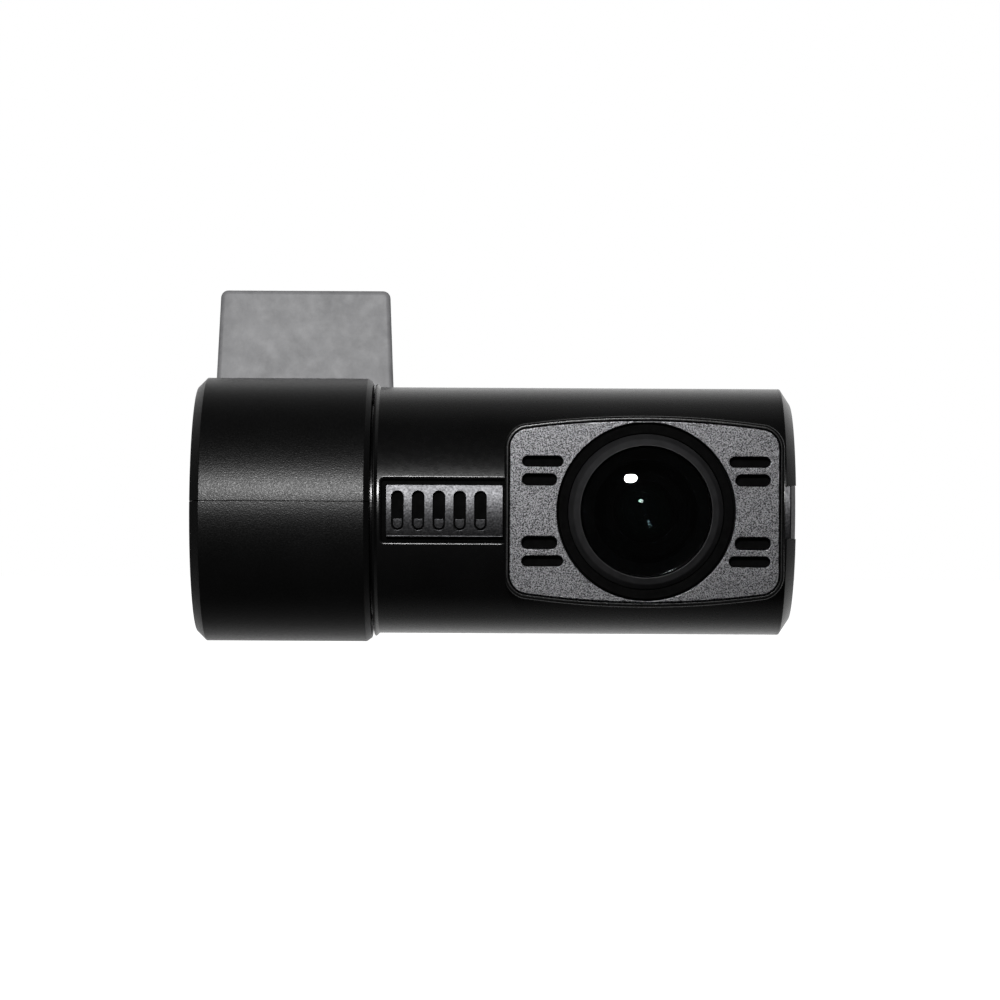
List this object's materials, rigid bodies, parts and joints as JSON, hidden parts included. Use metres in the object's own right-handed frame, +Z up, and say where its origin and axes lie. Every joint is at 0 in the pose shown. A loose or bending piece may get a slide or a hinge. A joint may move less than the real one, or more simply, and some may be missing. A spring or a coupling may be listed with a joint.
{
  "type": "dash camera",
  "caption": "Cylindrical dash camera whose camera body tilts in a fixed collar, on a stick-on windscreen bracket it slides off sideways.",
  "frame": {"origin": "middle of the bracket's adhesive face", "axes": "+X along the cylinder from the collar towards the camera's free end, +Z up, the lens looks along -Y; the adhesive face looks along +Y and leans 5.2 degrees with the windscreen"},
  "size_m": [0.0837, 0.0468, 0.0508],
  "materials": {
    "bracket_plastic": "satin moulded grey",
    "foam_tape": "closed-cell acrylic foam tape",
    "textured_black": "fine spark-eroded texture",
    "satin_black": "satin moulded",
    "gloss_black": "polished",
    "grey_paint": "metallic grey lacquer with a fine flake",
    "matte_black": "matt anti-reflection black",
    "lens_ring_black": "black anodised",
    "coated_glass": "green and violet anti-reflection coating",
    "black_insulator": "moulded",
    "plated_steel": "nickel plated",
    "spring_steel": "bright spring steel",
    "circuit_board": "green solder mask",
    "white_nylon": "natural nylon",
    "sensor_chip": "cover glass over a dark die",
    "chip_black": "moulded epoxy",
    "thermal_silicone": "soft grey-blue silicone",
    "bare_aluminium": "rolled",
    "capacitor_sleeve": "shrink sleeve",
    "clear_plastic": "clear acrylic",
    "flexible_film": "polyimide film",
    "lead_sheath": "black sheath"
  },
  "bodies": {
    "bracket": {"mount_plate": "bracket_plastic", "adhesive_pad": "foam_tape"},
    "collar": {"collar_upper_shell": "textured_black", "collar_lower_shell": "textured_black", "collar_end_disc": "textured_black", "usb_socket": "plated_steel", "usb_contact_tongue": "black_insulator", "usb_board": "circuit_board", "lead_connector": "white_nylon", "collar_screw_1": "plated_steel", "collar_screw_2": "plated_steel", "friction_washer": "white_nylon"},
    "camera": {"front_shell": "satin_black", "rear_shell": "satin_black", "end_cap": "satin_black", "end_trim": "gloss_black", "bezel": "grey_paint", "vent_panel": "satin_black", "neck_retainer": "black_insulator", "wave_washer": "spring_steel", "lens_surround": "matte_black", "lens_retaining_ring": "lens_ring_black", "front_element": "coated_glass", "second_element": "coated_glass", "rear_element": "coated_glass", "lens_barrel": "matte_black", "lens_holder": "black_insulator", "image_sensor": "sensor_chip", "sensor_board": "circuit_board", "sensor_screw_1": "plated_steel", "sensor_screw_2": "plated_steel", "main_board": "circuit_board", "board_screw_1": "plated_steel", "board_screw_2": "plated_steel", "board_screw_3": "plated_steel", "board_screw_4": "plated_steel", "processor": "chip_black", "thermal_pad": "thermal_silicone", "heat_spreader": "bare_aluminium", "backup_capacitor_1": "capacitor_sleeve", "backup_capacitor_2": "capacitor_sleeve", "speaker": "matte_black", "microphone": "bare_aluminium", "wifi_antenna": "flexible_film", "card_socket": "plated_steel", "function_switch": "black_insulator", "reset_switch": "black_insulator", "power_led": "clear_plastic", "wifi_led": "clear_plastic", "power_light_pipe": "clear_plastic", "wifi_light_pipe": "clear_plastic", "ribbon_cable": "flexible_film", "main_lead_connector": "white_nylon", "power_lead": "lead_sheath"},
    "function_button": {"function_button": "gloss_black"},
    "memory_card": {"memory_card": "chip_black"}
  },
  "joints": [
    {"name": "mount_slide", "type": "slide", "parent": "bracket", "child": "collar", "axis": [1, 0, 0], "range_m": [0, 0.025]},
    {"name": "lens_tilt", "type": "hinge", "parent": "collar", "child": "camera", "pos_m": [0, -0.0255, -0.00933], "axis": [1, 0, 0], "range_deg": [-90, 180]},
    {"name": "button_press", "type": "slide", "parent": "camera", "child": "function_button", "axis": [0, -1, 0], "range_m": [0, 0.0005], "stiffness_N_per_m": 3000},
    {"name": "card_slide", "type": "slide", "parent": "camera", "child": "memory_card", "axis": [0, 0, -1], "range_m": [0, 0.015]}
  ]
}
